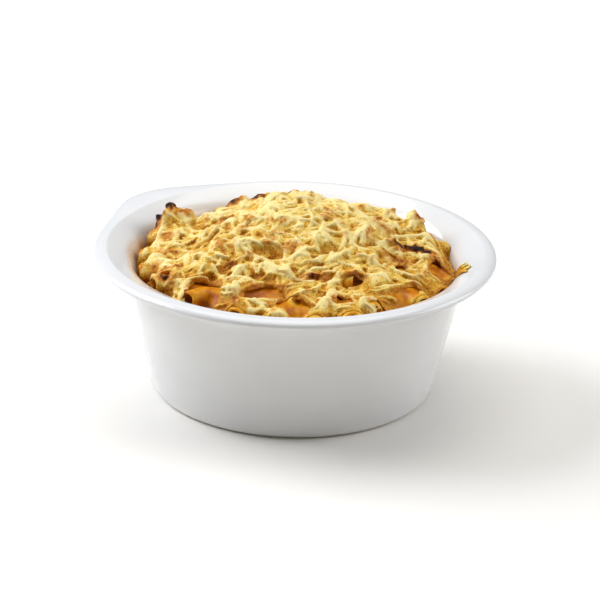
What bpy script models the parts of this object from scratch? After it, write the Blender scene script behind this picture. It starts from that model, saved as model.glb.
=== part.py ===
"""Baked macaroni cheese in its own round oven dish.

The dish is white glazed stoneware with a rolled rim and one tab ear. Macaroni in sauce
fills it and heaps above the rim, under a blanket of grated cheese that has melted and
browned. Metres, +Z up. The origin is the middle of the dish's foot, where it stands.
"""
import math
import random

import bmesh
import bpy
from mathutils import Vector, noise

MM = 0.001
GAP = 0.3 * MM                       # clearance between neighbouring solids

# Dish
DISH_HEIGHT = 60 * MM                # foot to the crest of the rim
CREST_RADIUS = 77 * MM
CREST_ROUND = 1.6 * MM               # rounding of the crest towards the inside
LIP_RADIUS = 82 * MM                 # outermost edge of the rolled rim
LIP_DROP = 2.2 * MM                  # crest down to the level of the lip's edge
LIP_ROUND = 1.5 * MM                 # rounding under the lip's edge
FOOT_RADIUS = 57.7 * MM              # where the outer wall would meet the table
WALL_TILT = math.radians(13.3)       # outward lean of the wall
WALL = 4.4 * MM
FLOOR = 6 * MM
INNER_CORNER = 12 * MM
OUTER_CORNER = 3.5 * MM
FLARE_HEIGHT = 51 * MM               # the inner wall starts to roll outward here
FLARE_TILT = math.radians(24)        # slope of the rim's inside, just within the crest
FLARE_TURN = 5 * MM                  # how far the roll reaches up along the wall
FLARE_REACH = 6 * MM                 # and how far the crest's slope reaches down
TUCK_HEIGHT = 47 * MM                # the rim's underside runs into the wall here
FOOT_RING_INNER = 50 * MM
FOOT_RECESS = 1.2 * MM
DISH_SEGMENTS = 72

# Tab ear: a widening of the rolled rim on one side
EAR_AZIMUTH = math.radians(136)
EAR_REACH = 11 * MM
EAR_SPREAD = math.radians(17)

# Heap of food
HEAP_SHOULDER = 58 * MM              # height of the heap's broad top near its edge
HEAP_RISE = 14 * MM                  # how far the middle stands above the shoulder
HEAP_SPREAD = 26 * MM
HEAP_PEAK = Vector((2 * MM, 12 * MM))
CONTACT_MEAN = 48 * MM               # where the heap's side meets the wall, on average
CONTACT_SWING = 3 * MM               # higher on one side of the dish, lower on the other
CONTACT_HIGH_SIDE = math.radians(-20)
SHOULDER_START = 0.90                # share of the radius where the heap turns down
HEAP_KNOBS = (                       # azimuth in degrees, then distance, rise and spread in mm
    (87, 38, 4.0, 8.0),
    (42, 51, 2.5, 5.0),
    (26, 52, 4.0, 6.0),
    (2, 55, 4.0, 7.0),
    (155, 54, 4.5, 6.0),
    (180, 53, 2.0, 8.0),
)
HEAP_RINGS = 17
RING_CROWDING = 0.25                 # how much closer the rings lie at the heap's edge

# Macaroni
MACARONI_RADIUS = 5.2 * MM
MACARONI_LENGTH = 25 * MM
MACARONI_SPACING = 12.5 * MM
MACARONI_TRIES = 3000
MACARONI_SHOWS = 0.85                # how much of a tube stands out of the heap's bed
MACARONI_DEPTH = 4.8 * MM            # the pasta's bed lies this far under the heap's top
FADE_START = 0.95                    # share of the radius where the pasta's shape fades

# Cheese
CHEESE_LEAST = 1.5 * MM
CHEESE_RELIEF = 3.2 * MM
CHEESE_GRAIN = 8.5 * MM              # width of the blanket's soft lumps
CHEESE_SAG = 0.5                     # how much of the pasta's shape shows through it
CHEESE_EDGE = 0.90                   # share of the radius that the blanket covers
CHEESE_TONGUES = 0.09                # how far its tongues reach beyond that, and bays inside
TONGUE_PITCH = 4.0                   # how closely the tongues follow each other
CHEESE_HOLES = (                     # azimuth in degrees, distance and radius in mm
    (258, 50, 6.5),
    (293, 47, 5.0),
    (312, 49, 6.0),
    (235, 49, 5.5),
    (338, 46, 5.0),
    (205, 52, 5.5),
)
SEED = 11


def side_radius(height, depth=0.0):
    """Radius of the sloping wall at a height, measured square to it from its outer face."""
    return FOOT_RADIUS + height * math.tan(WALL_TILT) - depth / math.cos(WALL_TILT)


def arc(centre, radii, start, stop, steps):
    """Points along an elliptical arc in the section plane, angles in degrees."""
    points = []
    for step in range(steps + 1):
        angle = math.radians(start + (stop - start) * step / steps)
        points.append((centre[0] + radii[0] * math.cos(angle),
                       centre[1] + radii[1] * math.sin(angle)))
    return points


def corner_arc(clearance, steps):
    """Round inside corner of the dish, or of what fills it at a clearance, floor end first."""
    radius = INNER_CORNER - clearance
    centre = (side_radius(FLOOR + INNER_CORNER, WALL + INNER_CORNER), FLOOR + INNER_CORNER)
    return arc(centre, (radius, radius), -90, -math.degrees(WALL_TILT), steps)


def flare(steps):
    """The rim's inside: a smooth curve that leaves the wall and rises to the crest."""
    start = Vector((side_radius(FLARE_HEIGHT, WALL), FLARE_HEIGHT))
    up_wall = Vector((math.sin(WALL_TILT), math.cos(WALL_TILT)))
    down_slope = Vector((-math.cos(FLARE_TILT), -math.sin(FLARE_TILT)))
    square = Vector((-math.sin(FLARE_TILT), math.cos(FLARE_TILT)))
    stop = Vector((CREST_RADIUS, DISH_HEIGHT - CREST_ROUND)) + square * CREST_ROUND
    first = start + up_wall * FLARE_TURN
    last = stop + down_slope * FLARE_REACH
    points = []
    for step in range(steps + 1):
        t = step / steps
        point = (start * (1 - t) ** 3 + first * 3 * t * (1 - t) ** 2
                 + last * 3 * t * t * (1 - t) + stop * t ** 3)
        points.append((point.x, point.y))
    return points


def dish_profile():
    """Half section of the dish: inside from the middle, over the rim and down outside."""
    lip_height = DISH_HEIGHT - LIP_DROP
    outer = side_radius(TUCK_HEIGHT)
    lip_root = LIP_RADIUS - LIP_ROUND
    foot = (side_radius(OUTER_CORNER, OUTER_CORNER), OUTER_CORNER)
    points = [(0.0, FLOOR)]
    points += corner_arc(0.0, 4)
    points += flare(6)
    points += arc((CREST_RADIUS, DISH_HEIGHT - CREST_ROUND), (CREST_ROUND, CREST_ROUND),
                  90 + math.degrees(FLARE_TILT), 90, 2)[1:]
    points += arc((CREST_RADIUS, lip_height),
                  (LIP_RADIUS - CREST_RADIUS, LIP_DROP), 90, 0, 4)[1:]
    points += arc((lip_root, lip_height), (LIP_ROUND, LIP_ROUND), 0, -90, 2)[1:]
    points += arc((lip_root, TUCK_HEIGHT),
                  (lip_root - outer, lip_height - LIP_ROUND - TUCK_HEIGHT), 90, 180, 4)[1:]
    points += arc(foot, (OUTER_CORNER, OUTER_CORNER), -math.degrees(WALL_TILT), -90, 3)
    points += [(FOOT_RING_INNER, 0.0),
               (FOOT_RING_INNER - FOOT_RECESS, FOOT_RECESS),
               (0.0, FOOT_RECESS)]
    return points


def turned_mesh(name, profile, segments):
    """Turn a half section about Z with a Screw modifier and return the finished mesh."""
    mesh = bpy.data.meshes.new(name + "_section")
    bm = bmesh.new()
    verts = [bm.verts.new((radius, 0.0, height)) for radius, height in profile]
    for first, second in zip(verts, verts[1:]):
        bm.edges.new((first, second))
    bm.to_mesh(mesh)
    bm.free()
    section = bpy.data.objects.new(name + "_section", mesh)
    bpy.context.scene.collection.objects.link(section)
    screw = section.modifiers.new("turn", 'SCREW')
    screw.axis = 'Z'
    screw.angle = 2 * math.pi
    screw.steps = segments
    screw.render_steps = segments
    screw.use_merge_vertices = True
    screw.merge_threshold = 0.00001
    depsgraph = bpy.context.evaluated_depsgraph_get()
    turned = bpy.data.meshes.new_from_object(section.evaluated_get(depsgraph))
    bpy.data.objects.remove(section)
    bpy.data.meshes.remove(mesh)
    turned.name = name
    return turned


def azimuth_gap(azimuth, other):
    """Signed angle from one azimuth to another, between minus and plus half a turn."""
    return (azimuth - other + math.pi) % (2 * math.pi) - math.pi


def pull_out_ear(mesh):
    """Widen the rim outside its crest into the tab ear."""
    for vert in mesh.vertices:
        radius = math.hypot(vert.co.x, vert.co.y)
        if radius <= CREST_RADIUS:
            continue
        off = azimuth_gap(math.atan2(vert.co.y, vert.co.x), EAR_AZIMUTH) / EAR_SPREAD
        reach = EAR_REACH * math.exp(-off * off)
        share = (radius - CREST_RADIUS) / (LIP_RADIUS - CREST_RADIUS)
        stretch = 1 + reach * share / radius
        vert.co.x *= stretch
        vert.co.y *= stretch


def smooth(low, high, value):
    """Ease from 0 at low to 1 at high."""
    share = min(max((value - low) / (high - low), 0.0), 1.0)
    return share * share * (3 - 2 * share)


def contact_height(azimuth):
    """Height where the heap's side meets the dish's wall."""
    return CONTACT_MEAN + CONTACT_SWING * math.cos(azimuth - CONTACT_HIGH_SIDE)


def contact_radius(azimuth):
    """Radius of the food where it meets the wall."""
    return side_radius(contact_height(azimuth), WALL + GAP)


def polar(azimuth, reach):
    """Place in plan at an azimuth and a distance from the dish's axis."""
    return Vector((math.cos(azimuth), math.sin(azimuth))) * reach


def heap_height(place):
    """Smooth height of the heap above a place in plan: a broad mound with steep sides."""
    azimuth = math.atan2(place.y, place.x)
    share = place.length / contact_radius(azimuth)
    off = (place - HEAP_PEAK).length / HEAP_SPREAD
    mound = HEAP_SHOULDER + HEAP_RISE * math.exp(-off * off / 2)
    for turn, reach, rise, spread in HEAP_KNOBS:
        off = (place - polar(math.radians(turn), reach * MM)).length / (spread * MM)
        mound += rise * MM * math.exp(-off * off / 2)
    fall = smooth(SHOULDER_START, 1.0, share)
    return mound + (contact_height(azimuth) - mound) * fall


def scatter_macaroni():
    """Centres and directions in plan of the macaroni in the heap's surface."""
    draw = random.Random(SEED)
    pieces = []
    for _ in range(MACARONI_TRIES):
        azimuth = draw.uniform(-math.pi, math.pi)
        reach = math.sqrt(draw.random()) * (contact_radius(azimuth) - MACARONI_RADIUS)
        turn = draw.uniform(0, math.pi)
        centre = polar(azimuth, reach)
        if all((centre - other).length > MACARONI_SPACING for other, _ in pieces):
            pieces.append((centre, polar(turn, 1)))
    return pieces


def macaroni_relief(place, pieces):
    """Height of the topmost tube above the heap's bed at a place, nought between tubes."""
    half = MACARONI_LENGTH / 2 - MACARONI_RADIUS
    highest = 0.0
    for centre, along in pieces:
        offset = place - centre
        run = min(max(offset.dot(along), -half), half)
        aside = (offset - along * run).length
        if aside < MACARONI_RADIUS:
            highest = max(highest, math.sqrt(MACARONI_RADIUS ** 2 - aside ** 2))
    return highest


def edge_fade(place):
    """1 over the heap, falling to 0 at the wall, where every surface meets the dish."""
    share = place.length / contact_radius(math.atan2(place.y, place.x))
    return 1 - smooth(FADE_START, 1.0, share)


def macaroni_height(place, pieces):
    """Top of the pasta at a place in plan, nowhere lower than where it meets the wall."""
    bumps = MACARONI_SHOWS * macaroni_relief(place, pieces) - MACARONI_DEPTH
    height = heap_height(place) + bumps * edge_fade(place)
    return max(height, contact_height(math.atan2(place.y, place.x)))


def cheese_height(place, pieces):
    """Top of the melted cheese at a place in plan."""
    lumps = noise.noise(Vector((place.x, place.y, 0)) / CHEESE_GRAIN) * CHEESE_RELIEF
    draped = CHEESE_SAG * (macaroni_relief(place, pieces) - MACARONI_RADIUS / 2)
    blanket = heap_height(place) + lumps + draped
    return max(blanket, macaroni_height(place, pieces) + CHEESE_LEAST)


def under_cheese(place):
    """Whether the blanket of cheese covers a place in plan."""
    azimuth = math.atan2(place.y, place.x)
    share = place.length / contact_radius(azimuth)
    around = polar(azimuth, TONGUE_PITCH).to_3d()
    if share > CHEESE_EDGE + CHEESE_TONGUES * noise.noise(around):
        return False
    for turn, reach, radius in CHEESE_HOLES:
        if (place - polar(math.radians(turn), reach * MM)).length < radius * MM:
            return False
    return True


def heap_sheet(pieces):
    """The pasta's top as a sheet: a fan of six triangles, subdivided and rounded."""
    bm = bmesh.new()
    bmesh.ops.create_circle(bm, cap_ends=True, cap_tris=True, segments=6, radius=1)
    bmesh.ops.subdivide_edges(bm, edges=bm.edges[:], cuts=HEAP_RINGS - 1,
                              use_grid_fill=True)
    corner = max(bm.verts, key=lambda vert: round(vert.co.y, 5)).co
    start = math.atan2(corner.y, corner.x)
    sector = math.radians(60)
    for vert in bm.verts:
        turn = (math.atan2(vert.co.y, vert.co.x) - start) % (2 * math.pi)
        side = int(turn / sector + 1e-6)
        within = turn - side * sector
        first = math.sin(sector - within)
        second = math.sin(within)
        ring = vert.co.length * (first + second) / math.sin(sector)
        azimuth = start + sector * (side + second / (first + second))
        share = ring * (1 + RING_CROWDING * (1 - ring))
        place = polar(azimuth, share * contact_radius(azimuth))
        vert.co = (place.x, place.y, macaroni_height(place, pieces))
    bmesh.ops.recalc_face_normals(bm, faces=bm.faces[:])
    return bm


def macaroni_mesh(pieces):
    """The heap of macaroni: its sheet, carried down the wall and over the dish's floor."""
    bm = heap_sheet(pieces)
    for radius, height in reversed(corner_arc(GAP, 3)):
        rim = [edge for edge in bm.edges if edge.is_boundary]
        grown = bmesh.ops.extrude_edge_only(bm, edges=rim)["geom"]
        for vert in grown:
            if isinstance(vert, bmesh.types.BMVert):
                stretch = radius / math.hypot(vert.co.x, vert.co.y)
                vert.co = (vert.co.x * stretch, vert.co.y * stretch, height)
    rim = [edge for edge in bm.edges if edge.is_boundary]
    bmesh.ops.contextual_create(bm, geom=rim)
    bmesh.ops.recalc_face_normals(bm, faces=bm.faces[:])
    return finished_mesh(bm, "macaroni")


def cheese_mesh(pieces):
    """The blanket: the covered part of the sheet, lifted clear of it and thickened."""
    bm = heap_sheet(pieces)
    bare = [face for face in bm.faces if not under_cheese(face.calc_center_median().to_2d())]
    bmesh.ops.delete(bm, geom=bare, context='FACES')
    drop_stray_faces(bm)
    bm.normal_update()
    for vert in bm.verts:
        vert.co.z += GAP / max(abs(vert.normal.z), 0.4)
    edge = {vert.co.to_2d().freeze() for vert in bm.verts if vert.is_boundary}
    kept = bmesh.ops.extrude_face_region(bm, geom=bm.faces[:], use_keep_orig=True)["geom"]
    for vert in kept:
        if isinstance(vert, bmesh.types.BMVert):
            place = vert.co.to_2d().freeze()
            least = vert.co.z + CHEESE_LEAST
            vert.co.z = least if place in edge else max(cheese_height(place, pieces), least)
    bmesh.ops.recalc_face_normals(bm, faces=bm.faces[:])
    return finished_mesh(bm, "cheese_topping")


def drop_stray_faces(bm):
    """Remove faces that hang on by one corner or one edge, until none is left."""
    loose = True
    while loose:
        loose = [face for face in bm.faces
                 if sum(edge.is_boundary for edge in face.edges) > 1]
        pinched = [vert for vert in bm.verts
                   if sum(edge.is_boundary for edge in vert.link_edges) > 2]
        for vert in pinched:
            loose += [face for face in vert.link_faces if face not in loose]
        bmesh.ops.delete(bm, geom=loose, context='FACES')


def finished_mesh(bm, name):
    """Write a bmesh into a new mesh."""
    mesh = bpy.data.meshes.new(name)
    bm.to_mesh(mesh)
    bm.free()
    return mesh


def glaze():
    """White glazed stoneware."""
    return finish("white_glaze", (0.86, 0.87, 0.88), 0.12)


def baked_macaroni():
    """Golden pasta under a skin of sauce."""
    return finish("baked_macaroni", (0.80, 0.47, 0.10), 0.35)


def melted_cheese():
    """Pale melted cheese."""
    return finish("melted_cheese", (0.92, 0.76, 0.38), 0.45)


def finish(name, colour, roughness):
    """A Principled material with one colour and roughness."""
    material = bpy.data.materials.new(name)
    material.use_nodes = True
    shader = material.node_tree.nodes["Principled BSDF"]
    shader.inputs["Base Color"].default_value = (*colour, 1)
    shader.inputs["Roughness"].default_value = roughness
    shader.inputs["Metallic"].default_value = 0.0
    return material


def add_part(collection, name, mesh, material):
    """Add one piece of the object, smooth but for its sharp edges."""
    mesh.materials.clear()
    mesh.materials.append(material)
    mesh.shade_smooth()
    mesh.set_sharp_from_angle(angle=math.radians(50))
    part = bpy.data.objects.new(name, mesh)
    collection.objects.link(part)
    return part


def build():
    """Model the dish, the macaroni and the cheese."""
    for old in list(bpy.data.objects):
        bpy.data.objects.remove(old)
    collection = bpy.data.collections.new("macaroni_cheese")
    bpy.context.scene.collection.children.link(collection)

    dish = turned_mesh("dish", dish_profile(), DISH_SEGMENTS)
    pull_out_ear(dish)
    pieces = scatter_macaroni()
    add_part(collection, "dish", dish, glaze())
    add_part(collection, "macaroni", macaroni_mesh(pieces), baked_macaroni())
    add_part(collection, "cheese_topping", cheese_mesh(pieces), melted_cheese())


build()
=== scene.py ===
"""Baked macaroni cheese in its own round oven dish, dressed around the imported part.

White glazed stoneware, macaroni baked in cheese sauce, and a blanket of grated cheese that
has melted into a browned lace. Metres, +Z up, the dish's foot on the table at the origin.
"""
import math
import random

import bmesh
import bpy
import numpy as np
from mathutils import Matrix, Vector, noise


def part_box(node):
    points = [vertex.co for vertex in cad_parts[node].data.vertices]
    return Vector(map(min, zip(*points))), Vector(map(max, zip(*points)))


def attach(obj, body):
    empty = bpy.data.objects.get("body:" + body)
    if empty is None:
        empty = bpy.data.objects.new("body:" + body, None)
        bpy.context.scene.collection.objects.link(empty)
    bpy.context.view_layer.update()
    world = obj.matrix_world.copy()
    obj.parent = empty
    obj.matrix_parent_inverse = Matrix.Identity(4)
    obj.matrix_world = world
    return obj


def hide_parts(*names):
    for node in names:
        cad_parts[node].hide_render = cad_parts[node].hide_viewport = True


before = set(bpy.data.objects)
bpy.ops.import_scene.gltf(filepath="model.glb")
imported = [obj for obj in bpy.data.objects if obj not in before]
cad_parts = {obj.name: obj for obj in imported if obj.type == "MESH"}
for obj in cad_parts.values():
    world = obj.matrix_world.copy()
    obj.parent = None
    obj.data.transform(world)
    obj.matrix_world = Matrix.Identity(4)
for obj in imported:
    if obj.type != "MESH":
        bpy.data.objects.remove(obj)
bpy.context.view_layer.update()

# ---------------------------------------------------------------------------------------
# Oven dish: stoneware, turned on a wheel, with a rolled rim and one tab ear, dipped in
# white tin glaze and fired. Everything above the foot ring is glazed; the ring is bare clay.
# It is built by drawing one ring of points along the half section, then pulling the ear out.
# ---------------------------------------------------------------------------------------
MM = 0.001
dish_low, dish_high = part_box("dish")
DISH_HEIGHT = dish_high.z
LIP_RADIUS = dish_high.x
CREST_RADIUS = LIP_RADIUS - 5 * MM
CREST_ROUND = 1.6 * MM
LIP_DROP = 2.2 * MM
LIP_ROUND = 1.5 * MM
FOOT_RADIUS = 57.7 * MM
WALL_TILT = math.radians(13.3)
WALL = 4.4 * MM
FLOOR = 6 * MM
INNER_CORNER = 12 * MM
OUTER_CORNER = 3.5 * MM
FLARE_HEIGHT = 51 * MM
FLARE_TILT = math.radians(24)
FLARE_TURN = 5 * MM
FLARE_REACH = 6 * MM
TUCK_HEIGHT = 47 * MM
FOOT_RING_INNER = 50 * MM
FOOT_RECESS = 1.2 * MM
DISH_STEPS = 120
EAR_AZIMUTH = math.radians(136)
EAR_REACH = 11 * MM
EAR_SPREAD = math.radians(17)


def side_radius(height, depth=0.0):
    """Radius of the sloping wall at a height, measured square to it from its outer face."""
    return FOOT_RADIUS + height * math.tan(WALL_TILT) - depth / math.cos(WALL_TILT)


def arc(centre, radii, start, stop, steps):
    """Points along an elliptical arc in the section plane, angles in degrees."""
    turns = np.radians(np.linspace(start, stop, steps + 1))
    return [(centre[0] + radii[0] * math.cos(turn), centre[1] + radii[1] * math.sin(turn))
            for turn in turns]


def flare(steps):
    """The rim's inside: a smooth curve that leaves the wall and rises to the crest."""
    start = Vector((side_radius(FLARE_HEIGHT, WALL), FLARE_HEIGHT))
    up_wall = Vector((math.sin(WALL_TILT), math.cos(WALL_TILT)))
    down_slope = Vector((-math.cos(FLARE_TILT), -math.sin(FLARE_TILT)))
    square = Vector((-math.sin(FLARE_TILT), math.cos(FLARE_TILT)))
    stop = Vector((CREST_RADIUS, DISH_HEIGHT - CREST_ROUND)) + square * CREST_ROUND
    bends = (start, start + up_wall * FLARE_TURN, stop + down_slope * FLARE_REACH, stop)
    return [tuple(sum((bend * math.comb(3, k) * t ** k * (1 - t) ** (3 - k)
                       for k, bend in enumerate(bends)), Vector((0, 0))))
            for t in np.linspace(0, 1, steps + 1)]


def dish_section():
    """Half section of the dish, from the middle of its floor over the rim to the foot."""
    outer = side_radius(TUCK_HEIGHT)
    lip_height = DISH_HEIGHT - LIP_DROP
    lip_root = LIP_RADIUS - LIP_ROUND
    corner = side_radius(FLOOR + INNER_CORNER, WALL + INNER_CORNER)
    section = [(30 * MM, FLOOR)]
    section += arc((corner, FLOOR + INNER_CORNER), (INNER_CORNER, INNER_CORNER),
                   -90, -math.degrees(WALL_TILT), 6)
    section += flare(9)
    section += arc((CREST_RADIUS, DISH_HEIGHT - CREST_ROUND), (CREST_ROUND, CREST_ROUND),
                   90 + math.degrees(FLARE_TILT), 90, 2)[1:]
    section += arc((CREST_RADIUS, lip_height),
                   (LIP_RADIUS - CREST_RADIUS, LIP_DROP), 90, 0, 5)[1:]
    section += arc((lip_root, lip_height), (LIP_ROUND, LIP_ROUND), 0, -90, 3)[1:]
    section += arc((lip_root, TUCK_HEIGHT),
                   (lip_root - outer, lip_height - LIP_ROUND - TUCK_HEIGHT), 90, 180, 6)[1:]
    section += [(side_radius(height), height) for height in (34 * MM, 20 * MM, 8 * MM)]
    section += arc((side_radius(OUTER_CORNER, OUTER_CORNER), OUTER_CORNER),
                   (OUTER_CORNER, OUTER_CORNER), -math.degrees(WALL_TILT), -90, 4)
    section += [(FOOT_RING_INNER + 0.3 * MM, 0.0), (FOOT_RING_INNER - 0.2 * MM, 0.2 * MM),
                (FOOT_RING_INNER - FOOT_RECESS, FOOT_RECESS), (25 * MM, FOOT_RECESS)]
    return section


def select_only(piece):
    """Make one object the only selected one, and active."""
    bpy.ops.object.select_all(action='DESELECT')
    piece.select_set(True)
    bpy.context.view_layer.objects.active = piece


def turned(name, section, steps):
    """Draw a ring of points along a half section, close both poles and face it outward."""
    bpy.ops.object.select_all(action='DESELECT')
    radius, height = section[0]
    bpy.ops.mesh.primitive_circle_add(vertices=steps, radius=radius, fill_type='NOTHING')
    piece = bpy.context.object
    piece.name = name
    bpy.ops.object.mode_set(mode='EDIT')
    bpy.ops.mesh.select_all(action='SELECT')
    bpy.ops.transform.translate(value=(0, 0, height))
    for next_radius, next_height in section[1:]:
        bpy.ops.mesh.extrude_region_move(
            TRANSFORM_OT_translate={"value": (0, 0, next_height - height)})
        stretch = next_radius / radius
        bpy.ops.transform.resize(value=(stretch, stretch, 1), center_override=(0, 0, 0))
        radius, height = next_radius, next_height
    bpy.ops.mesh.select_all(action='DESELECT')
    bpy.ops.mesh.select_non_manifold()
    bpy.ops.mesh.extrude_region_move()
    bpy.ops.transform.resize(value=(0, 0, 1), center_override=(0, 0, 0))
    bpy.ops.mesh.select_all(action='SELECT')
    bpy.ops.mesh.remove_doubles(threshold=0.00001)
    bpy.ops.mesh.normals_make_consistent(inside=False)
    bpy.ops.object.mode_set(mode='OBJECT')
    return piece


def linear(code):
    """sRGB hex colour as linear RGBA."""
    parts = [int(code[i:i + 2], 16) / 255 for i in (1, 3, 5)]
    return (*[c / 12.92 if c <= 0.04045 else ((c + 0.055) / 1.055) ** 2.4 for c in parts], 1)


def add_node(tree, kind, links=None, stops=None, **settings):
    """Add a node: its settings, its inputs by name or number, and a ramp's stops."""
    new = tree.nodes.new("ShaderNode" + kind)
    for key, value in settings.items():
        setattr(new, key, value)
    for socket, value in (links or {}).items():
        if isinstance(value, bpy.types.NodeSocket):
            tree.links.new(value, new.inputs[socket])
        else:
            new.inputs[socket].default_value = value
    if stops:
        elements = new.color_ramp.elements
        while len(elements) > 1:
            elements.remove(elements[-1])
        elements[0].position, elements[0].color = stops[0][0], linear(stops[0][1])
        for place, code in stops[1:]:
            elements.new(place).color = linear(code)
    return new


def new_material(name, **numbers):
    """An empty Principled material, with the numbers that are the same all over it."""
    material = bpy.data.materials.new(name)
    material.use_nodes = True
    shader = material.node_tree.nodes["Principled BSDF"]
    for key, value in numbers.items():
        shader.inputs[key.replace("_", " ")].default_value = value
    return material, material.node_tree, shader


dish = turned("oven_dish", dish_section(), DISH_STEPS)
for vert in dish.data.vertices:
    radius = math.hypot(vert.co.x, vert.co.y)
    azimuth = math.atan2(vert.co.y, vert.co.x)
    if radius > CREST_RADIUS:
        off = ((azimuth - EAR_AZIMUTH + math.pi) % (2 * math.pi) - math.pi) / EAR_SPREAD
        share = (radius - CREST_RADIUS) / (LIP_RADIUS - CREST_RADIUS)
        stretch = 1 + EAR_REACH * math.exp(-off * off) * share / radius
        vert.co.x *= stretch
        vert.co.y *= stretch
select_only(dish)
rounded = dish.modifiers.new("rounded", 'SUBSURF')
rounded.levels = rounded.render_levels = 1
bpy.ops.object.modifier_apply(modifier="rounded")
bpy.ops.object.shade_smooth()

# White tin glaze over stoneware: glossy glass over an opaque white, very slightly blue,
# a little greyer where it has run thin, and tan on the left inside above the food: partly a
# baked-on sauce stain, partly a painted warm reflection of the food and painted shade.
glaze, tree, shader = new_material("white_glazed_stoneware", Roughness=0.12, IOR=1.52)
where = add_node(tree, "TexCoord").outputs["Object"]
split = add_node(tree, "SeparateXYZ", {0: where})
pooled = add_node(tree, "TexNoise", {"Vector": where, "Scale": 1 / (45 * MM), "Detail": 2.0})
white = add_node(tree, "ValToRGB", {0: pooled.outputs["Fac"]},
                 stops=[(0.35, "#DADADA"), (0.65, "#E0E0DF")])
across = add_node(tree, "VectorMath", {0: where, 1: (1, 1, 0)}, operation='MULTIPLY')
radial = add_node(tree, "VectorMath", {0: across.outputs[0]}, operation='LENGTH')
mid_wall = add_node(tree, "Math", {0: split.outputs["Z"], 1: math.tan(WALL_TILT),
                                   2: side_radius(0, WALL / 2)}, operation='MULTIPLY_ADD')
within = add_node(tree, "Math", {0: mid_wall.outputs[0], 1: radial.outputs["Value"]},
                  operation='SUBTRACT')
inside = add_node(tree, "MapRange", {0: within.outputs[0], 1: -1.2 * MM, 2: 0.8 * MM})
above_foot = add_node(tree, "MapRange", {0: split.outputs["Z"], 1: 59.5 * MM, 2: 51 * MM})
low_inside = add_node(tree, "Math", {0: inside.outputs[0], 1: above_foot.outputs[0]},
                      operation='MULTIPLY')
leftward = add_node(tree, "MapRange", {0: split.outputs["X"], 1: -30 * MM, 2: -58 * MM})
leftmost = add_node(tree, "MapRange", {0: leftward.outputs[0], 3: 0.12, 4: 1.0})
patchy = add_node(tree, "TexNoise", {"Vector": where, "Scale": 1 / (9 * MM), "Detail": 4.0})
patches = add_node(tree, "MapRange", {0: patchy.outputs["Fac"], 1: 0.30, 2: 0.62})
# Tan on the left inside below the rim: a baked-on sauce stain, plus a painted warm reflection of
# the food and painted shade between food and wall.
stain_and_painted_reflection = add_node(tree, "Math", {0: low_inside.outputs[0], 1: leftmost.outputs[0]},
                 operation='MULTIPLY')
stain_and_painted_reflection = add_node(tree, "Math", {0: stain_and_painted_reflection.outputs[0], 1: patches.outputs[0]},
                 operation='MULTIPLY')
glazed = add_node(tree, "MixRGB", {0: stain_and_painted_reflection.outputs[0], 1: white.outputs[0],
                                   2: linear("#BE9662")})
is_foot = add_node(tree, "MapRange", {0: split.outputs["Z"], 1: 0.7 * MM, 2: 0.3 * MM})
bare = add_node(tree, "MixRGB", {0: is_foot.outputs[0], 1: glazed.outputs[0],
                                 2: linear("#D9CDB8")})
tree.links.new(bare.outputs[0], shader.inputs["Base Color"])
sheen_marks = add_node(tree, "MapRange", {0: patchy.outputs["Fac"], 3: 0.08, 4: 0.16})
rough = add_node(tree, "Math", {0: stain_and_painted_reflection.outputs[0], 1: 0.35, 2: sheen_marks.outputs[0]},
                 operation='MULTIPLY_ADD')
rough = add_node(tree, "Math", {0: is_foot.outputs[0], 1: 0.6, 2: rough.outputs[0]},
                 operation='MULTIPLY_ADD')
tree.links.new(rough.outputs[0], shader.inputs["Roughness"])
orange_peel = add_node(tree, "TexNoise", {"Vector": where, "Scale": 1 / (5 * MM)})
ripple = add_node(tree, "Bump", {"Height": orange_peel.outputs["Fac"], "Strength": 0.05,
                                 "Distance": 1 * MM})
tree.links.new(ripple.outputs[0], shader.inputs["Normal"])
dish.data.materials.append(glaze)
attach(dish, "root")
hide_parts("dish")

# ---------------------------------------------------------------------------------------
# Bed of the heap: macaroni packed in cheese sauce, baked until it set. It fills the dish,
# heaps above the rim and falls steeply at its edge, where it meets the wall. Only the sauce
# between the topmost pasta shows. It is one sheet of rings, carried down the wall and closed.
# ---------------------------------------------------------------------------------------
GAP = 0.3 * MM
HEAP_SHOULDER = 58 * MM
HEAP_RISE = 14 * MM
HEAP_SPREAD = 26 * MM
HEAP_PEAK = (2 * MM, 12 * MM)
CONTACT_MEAN = 48 * MM
CONTACT_SWING = 3 * MM
CONTACT_HIGH_SIDE = math.radians(-20)
SHOULDER_START = 0.90
HEAP_KNOBS = (                       # azimuth in degrees, then distance, rise and spread in mm
    (87, 38, 4.0, 8.0),
    (42, 51, 2.5, 5.0),
    (26, 52, 4.0, 6.0),
    (2, 55, 4.0, 7.0),
    (155, 54, 4.5, 6.0),
    (180, 53, 2.0, 8.0),
)
MACARONI_RADIUS = 5.2 * MM
MACARONI_LENGTH = 25 * MM
MACARONI_SPACING = 12.5 * MM
MACARONI_TRIES = 3000
MACARONI_DEPTH = 4.8 * MM
SEED = 11
PITCH = 0.5 * MM                     # spacing of the height map that the food is laid on
REACH = 66 * MM
SIDE = int(2 * REACH / PITCH) + 1


def ease(low, high, value):
    """Ease from 0 at low to 1 at high."""
    share = np.clip((value - low) / (high - low), 0.0, 1.0)
    return share * share * (3 - 2 * share)


def contact_height(azimuth):
    """Height where the heap's side meets the dish's wall."""
    return CONTACT_MEAN + CONTACT_SWING * np.cos(azimuth - CONTACT_HIGH_SIDE)


def contact_radius(azimuth):
    """Radius of the food where it meets the wall."""
    return side_radius(contact_height(azimuth), WALL + GAP)


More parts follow.
